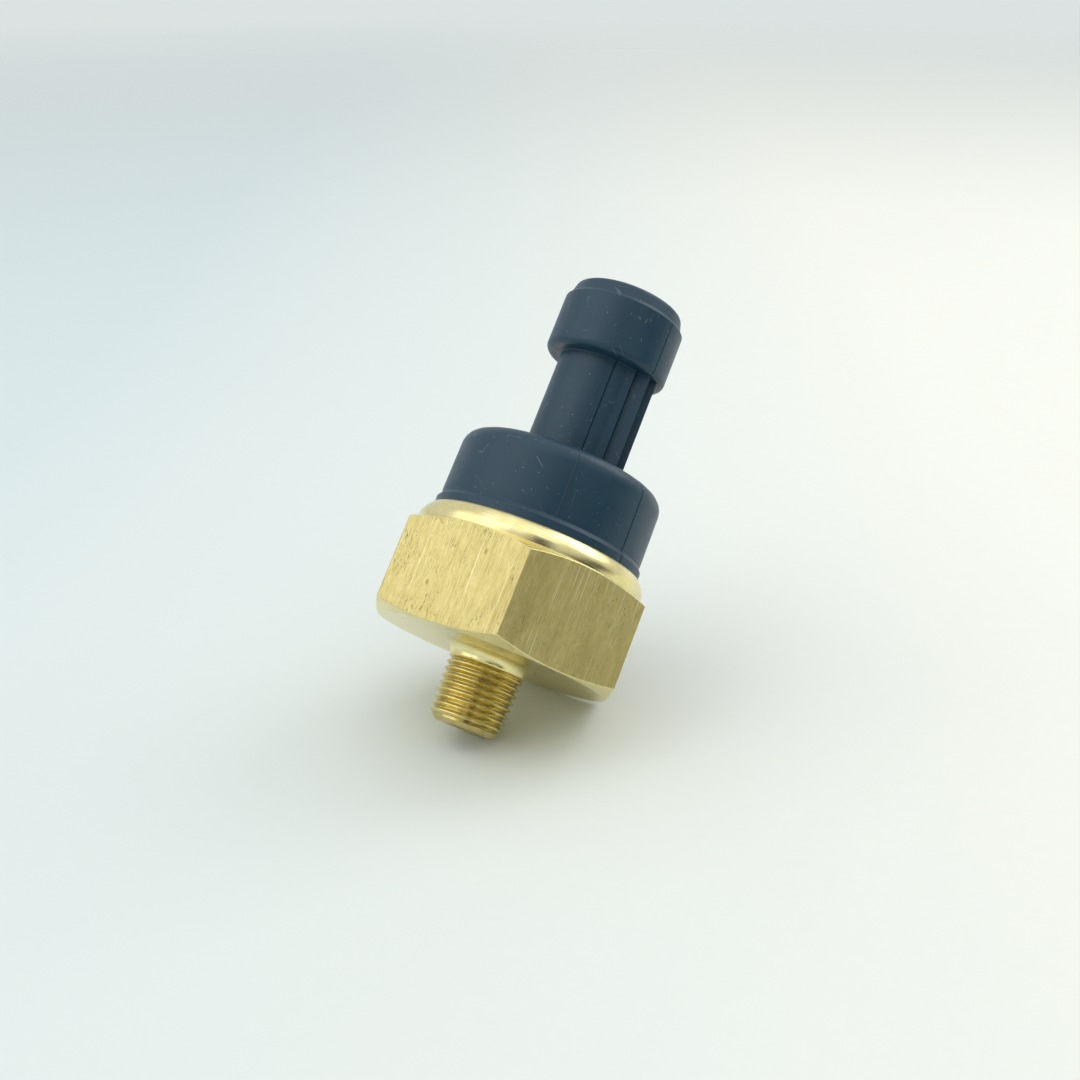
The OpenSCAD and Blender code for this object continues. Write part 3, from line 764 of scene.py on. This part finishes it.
def floor_material():
    """Pale matt paper with painted shade, darker and bluish, at the back left. It is seen only from
    above and fades out far away.
    """
    material, n = new_material("floor")
    fibre = n.noise(n.spot(), 0.5, 4)
    place = n.add("ShaderNodeTexCoord").outputs["Object"]

    def along(axis):
        return n.add("ShaderNodeVectorMath", {0: place, 1: axis},
                     operation="DOT_PRODUCT").outputs["Value"]

    base = n.mix(fibre, rgb(233, 235, 227), rgb(237, 238, 230))
    # Painted shade: the paper turns darker and bluish towards the back left.
    painted_shade_back_left = n.math("MULTIPLY", n.ramp(along(FLOOR_RIGHT), 0.10, -0.10),
                  n.ramp(along(FLOOR_AWAY), -0.08, 0.16, 0.85, 1.0))
    base = n.mix(painted_shade_back_left, base, rgb(206, 219, 221))
    paper = n.add("ShaderNodeBsdfPrincipled", {
        "Base Color": base, "Roughness": 0.7,
        "Normal": n.bump(n.noise(n.spot(), 4.0, 2), 0.02, 0.2)})
    clear = n.add("ShaderNodeBsdfTransparent")
    under = n.add("ShaderNodeNewGeometry").outputs["Backfacing"]
    distance = n.add("ShaderNodeVectorMath", {0: place}, operation="LENGTH").outputs["Value"]
    fade = n.math("MAXIMUM", under, n.ramp(distance, 0.35, 1.0))
    pick = n.add("ShaderNodeMixShader", {0: fade, 1: paper.outputs[0], 2: clear.outputs[0]})
    out = n.add("ShaderNodeOutputMaterial")
    n.tree.links.new(pick.outputs[0], out.inputs[0])
    return material


def make_sheet(name, centre, across, along, material):
    """Flat rectangle from its middle and two half sides."""
    mesh = bmesh.new()
    mesh.faces.new([mesh.verts.new(centre + across * x + along * y)
                    for x, y in ((-1, -1), (1, -1), (1, 1), (-1, 1))])
    data = bpy.data.meshes.new(name)
    mesh.to_mesh(data)
    mesh.free()
    data.materials.append(material)
    sheet = bpy.data.objects.new(name, data)
    scene.collection.objects.link(sheet)
    return sheet


def make_floor():
    """Wide paper floor that just touches the leaning switch."""
    half = 3.0
    below = 0.02 * MM
    base = FLOOR_UP * (lowest_along(FLOOR_UP) - below)
    make_sheet("floor", base, FLOOR_RIGHT * half, FLOOR_AWAY * half, floor_material())


def on_floor(right, away, up):
    """Vector given in floor axes, in metres."""
    return FLOOR_RIGHT * right + FLOOR_AWAY * away + FLOOR_UP * up


def make_card(name, right, away, up, width, height):
    """Dark card that only the reflections see."""
    towards = on_floor(right, away, up)
    turn = towards.to_track_quat("Z", "Y").to_matrix()
    material, n = new_material(name)
    shade = n.mix(n.noise(n.spot(), 0.02, 2), rgb(20, 22, 20), rgb(34, 36, 32))
    n.surface({"Base Color": shade, "Roughness": 0.9})
    card = make_sheet(name, MIDDLE + towards, turn @ Vector((width / 2, 0, 0)),
                      turn @ Vector((0, height / 2, 0)), material)
    card.visible_camera = card.visible_diffuse = card.visible_shadow = False


def add_light(name, right, away, up, side, watts, colour):
    """Square softbox at a place given in floor axes, facing the switch."""
    data = bpy.data.lights.new(name, "AREA")
    data.shape = "RECTANGLE"
    data.size = data.size_y = side
    data.energy = watts
    data.color = colour
    light = bpy.data.objects.new(name, data)
    towards = on_floor(right, away, up)
    turn = towards.to_track_quat("Z", "Y").to_matrix().to_4x4()
    light.matrix_world = Matrix.Translation(MIDDLE + towards) @ turn
    scene.collection.objects.link(light)


def make_world():
    """Pale dome for light and reflections, with a soft dark part low on the right.

    The camera sees one plain pale colour instead.
    """
    world = bpy.data.worlds.new("studio")
    scene.world = world
    world.use_nodes = True
    n = Nodes(world.node_tree)
    direction = n.add("ShaderNodeTexCoord").outputs["Generated"]

    def along(axis):
        return n.add("ShaderNodeVectorMath", {0: direction, 1: axis},
                     operation="DOT_PRODUCT").outputs["Value"]

    dark_side = on_floor(0.80, -0.60, -0.02).normalized()
    rise = n.ramp(along(FLOOR_UP), 0.0, 0.9)
    colour = n.mix(rise, (0.74, 0.76, 0.76, 1), (0.88, 0.89, 0.90, 1))
    low = n.ramp(along(FLOOR_UP), 0.52, 0.22)
    dark = n.math("MULTIPLY", n.ramp(along(dark_side), 0.64, 0.88, 0.0, 0.97), low)
    colour = n.mix(dark, colour, (0.03, 0.035, 0.03, 1))
    light = n.add("ShaderNodeBackground", {"Color": colour, "Strength": 0.93})
    seen = n.add("ShaderNodeBackground", {"Color": rgb(219, 226, 225)})
    direct = n.add("ShaderNodeLightPath").outputs["Is Camera Ray"]
    pick = n.add("ShaderNodeMixShader", {0: direct, 1: light.outputs[0], 2: seen.outputs[0]})
    out = n.add("ShaderNodeOutputWorld")
    n.tree.links.new(pick.outputs[0], out.inputs[0])


def make_stage():
    make_floor()
    make_world()
    make_card("dark_card_front", 0.036, -0.16, 0.13, 0.07, 0.20)
    scene.view_settings.view_transform = "Standard"
    add_light("overhead", 0.05, 0.0, 0.55, 0.7, 0.75, (1.0, 0.99, 0.97))
    add_light("left", -0.42, -0.10, 0.41, 0.6, 0.85, (1.0, 0.99, 0.96))
    add_light("right", 0.5, 0.30, 0.40, 0.4, 1.0, (1.0, 1.0, 0.98))


# ---------------------------------------------------------------- build

make_camera()
MATERIALS = make_materials()
for node in frame["record"]["subparts"]:
    thing = bpy.data.objects.get(node["node"])
    if thing is not None and thing.type == "MESH":
        material = MATERIALS[node["material_slot"]]
        if not thing.data.materials:
            thing.data.materials.append(material)
        for slot in thing.material_slots:
            slot.link = "OBJECT"
            slot.material = material
make_brass(MATERIALS)
make_housing(MATERIALS)
make_squashed(MATERIALS)
make_stage()
